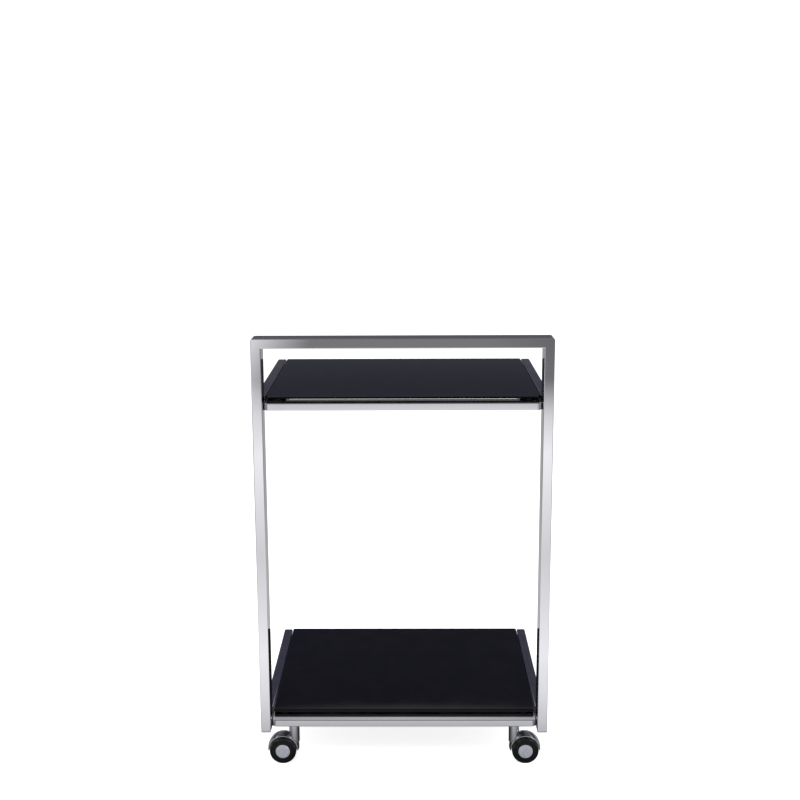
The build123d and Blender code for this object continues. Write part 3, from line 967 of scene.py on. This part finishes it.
on_corners = corners_tree(pad_rubber)
for shelf in SHELVES:
    low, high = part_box(f"{shelf}_pads")
    centre = (low + high) / 2
    spread = high - low
    discs = grow(f"{shelf}_pad_discs", on_corners,
                 {"Width": spread.x - PAD_WIDTH, "Depth": spread.y - PAD_WIDTH}, pad_mesh())
    discs.data.transform(Matrix.Translation((centre.x, centre.y, low.z)))
    shade(discs)
    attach(discs, "frame")
    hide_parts(f"{shelf}_pads")
print("a set of pads has", len(discs.data.polygons), "faces")

# %% [markdown]
# ## End plugs
# The open ends of the tubes are closed by pushed-in plastic plugs. What shows is a flange the
# size of the tube with a softly crowned face. The hidden part is a hollow skirt that goes
# into the tube. A plug is a stack of rounded rectangles, like the glass.

# %% Plugs
def plug(bm, width, depth, corner, flange, skirt_width, skirt_depth, skirt):
    """Plug along +Z: the skirt goes up from the flange, whose crowned face looks down."""
    def outline(inset, w=width, d=depth, c=corner):
        return rounded_outline(w - 2 * inset, d - 2 * inset, max(c - inset, 0.3 * MM), 6)

    crown = [(4.0 * MM, 0.0), (1.6 * MM, 0.18 * MM), (0.75 * MM, 0.42 * MM),
             (0.28 * MM, 0.8 * MM), (0.05 * MM, 1.35 * MM), (0.0, 1.8 * MM),
             (0.0, flange - 0.25 * MM), (0.12 * MM, flange - 0.08 * MM), (0.35 * MM, flange)]
    levels = [(outline(inset), height) for inset, height in crown]
    neck = dict(w=skirt_width, d=skirt_depth, c=0.5 * MM)
    levels += [(outline(0.0, **neck), flange), (outline(0.0, **neck), flange + skirt - MM),
               (outline(0.4 * MM, **neck), flange + skirt),
               (outline(1.5 * MM, **neck), flange + skirt),
               (outline(1.5 * MM, **neck), flange)]
    stack(bm, levels, Vector((0, 0)))


def place_plug(name, cad_node, size, flange, along, material, slot):
    """Make a plug, turn its face along the given direction and seat it on the CAD part."""
    low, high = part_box(cad_node)
    centre = (low + high) / 2
    width, depth = size
    bm = bmesh.new()
    plug(bm, width, depth, 1.5 * MM if slot == "post_cap_plastic" else 3 * MM, flange,
         width - 4.2 * MM, depth - 4.2 * MM, 10 * MM)
    if along == "down":
        turn_to = Matrix.Translation((centre.x, centre.y, low.z))
    else:
        turn_to = Matrix.Translation((centre.x, high.y, centre.z)) @ Matrix.Rotation(
            radians(90), 4, "X")
    bm.transform(turn_to)
    piece = new_piece(name, bm, [material], sharp=40)
    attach(piece, "frame")
    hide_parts(cad_node)
    return piece


POST_FLANGE = 4.0 * MM
ARM_FLANGE = 2.5 * MM
plugs = []
for side in SIDES:
    name = f"{side}_post_cap"
    low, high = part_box(name)
    plugs.append(place_plug(f"{side}_post_plug", name, (high.x - low.x, high.y - low.y),
                            POST_FLANGE, "down", post_plastic, "post_cap_plastic"))
    for shelf in SHELVES:
        name = f"{shelf}_{side}_arm_cap"
        low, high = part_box(name)
        plugs.append(place_plug(f"{shelf}_{side}_arm_plug", name,
                                (high.x - low.x, high.z - low.z), ARM_FLANGE, "back",
                                arm_plastic, "arm_cap_plastic"))
print("plugs made:", len(plugs))

# %% [markdown]
# ## Welds
# The frame is welded before it is plated, so the beads are chrome like the rest. Each bead is
# a row of overlapping drops along a joint: where an arm meets its post, where a side rail lies
# along an arm, and inside the two top corners.
# Geometry Nodes does exactly this: a path of edges becomes curves, the curves are sampled
# at an even pitch, and a round drop of slightly random size goes on each point.

# %% Welds
WELD = {"Pitch": 0.0008, "Bead radius": 0.0010, "Uneven": 0.12, "Seed": 4}


def weld_tree(material):
    """Geometry Nodes: overlapping drops along the edges of the incoming mesh."""
    tree, given = new_tree("Weld bead", WELD)
    paths = add_node(tree, "GeometryNodeMeshToCurve", (-850, 200), {"Mesh": given["Geometry"]})
    spots = add_node(tree, "GeometryNodeCurveToPoints", (-650, 200),
                     {"Curve": paths.outputs[0], "Length": given["Pitch"]}, mode="LENGTH")
    drop = add_node(tree, "GeometryNodeMeshIcoSphere", (-650, -100),
                    {"Radius": given["Bead radius"], "Subdivisions": 2})
    low = math_node(tree, "SUBTRACT", 1.0, given["Uneven"], (-850, -300))
    high = math_node(tree, "ADD", 1.0, given["Uneven"], (-850, -450))
    sizes = add_node(tree, "FunctionNodeRandomValue", (-650, -350),
                     {"Min": low, "Max": high, "Seed": given["Seed"]}, data_type="FLOAT")
    beads = add_node(tree, "GeometryNodeInstanceOnPoints", (-350, 100),
                     {"Points": spots.outputs["Points"], "Instance": drop.outputs["Mesh"],
                      "Rotation": spots.outputs["Rotation"], "Scale": sizes.outputs[1]})
    return end_tree(tree, beads.outputs[0], material, -150, 100)


def weld_lines():
    """Start and end of every bead, worked out from the tubes' boxes."""
    lines = []
    post_low, post_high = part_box("left_post")
    bar_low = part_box("top_bar")[0]
    inner = abs(post_high.x)
    for side in (-1, 1):
        corner = (side * (inner + 0.15 * MM), bar_low.z + 0.15 * MM)
        lines.append(((corner[0], post_low.y + 2 * MM, corner[1]),
                      (corner[0], post_high.y - 2 * MM, corner[1])))
        for shelf in SHELVES:
            arm_low, arm_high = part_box(f"{shelf}_left_arm")
            rail_low, rail_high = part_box(f"{shelf}_left_rail")
            behind = arm_low.y + 0.2 * MM
            for z in (arm_low.z + 0.1 * MM, arm_high.z - 0.1 * MM):
                lines.append(((side * (inner + 3 * MM), behind, z),
                              (side * (inner + 16 * MM), behind, z)))
            run = rail_high.y - rail_low.y
            for share in (0.08, 0.46, 0.84):
                start = rail_low.y + share * run
                lines.append(((side * inner, start, rail_low.z + 0.35 * MM),
                              (side * inner, start + 26 * MM, rail_low.z + 0.35 * MM)))
            lines.append(((side * (inner - 0.1 * MM), rail_low.y - 36 * MM, rail_low.z + MM),
                          (side * (inner - 0.1 * MM), rail_low.y - 25 * MM, rail_low.z + MM)))
    return lines


lines = weld_lines()
paths = bpy.data.meshes.new("weld_paths")
paths.from_pydata([point for line in lines for point in line],
                  [(2 * i, 2 * i + 1) for i in range(len(lines))], [])
welds = grow("frame_welds", weld_tree(chrome["y"]), WELD, paths)
for polygon in welds.data.polygons:
    polygon.use_smooth = True
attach(welds, "frame")
print("welds:", len(lines), "beads,", len(welds.data.polygons), "faces")

# %% [markdown]
# ## Final box
# The model must stay in the space of the CAD model, so the box of everything shown is printed,
# to set beside the CAD model's size printed at the start.

# %% Finish
low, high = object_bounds()
print("visual box", [round(1000 * value, 1) for value in (*low, *high)])
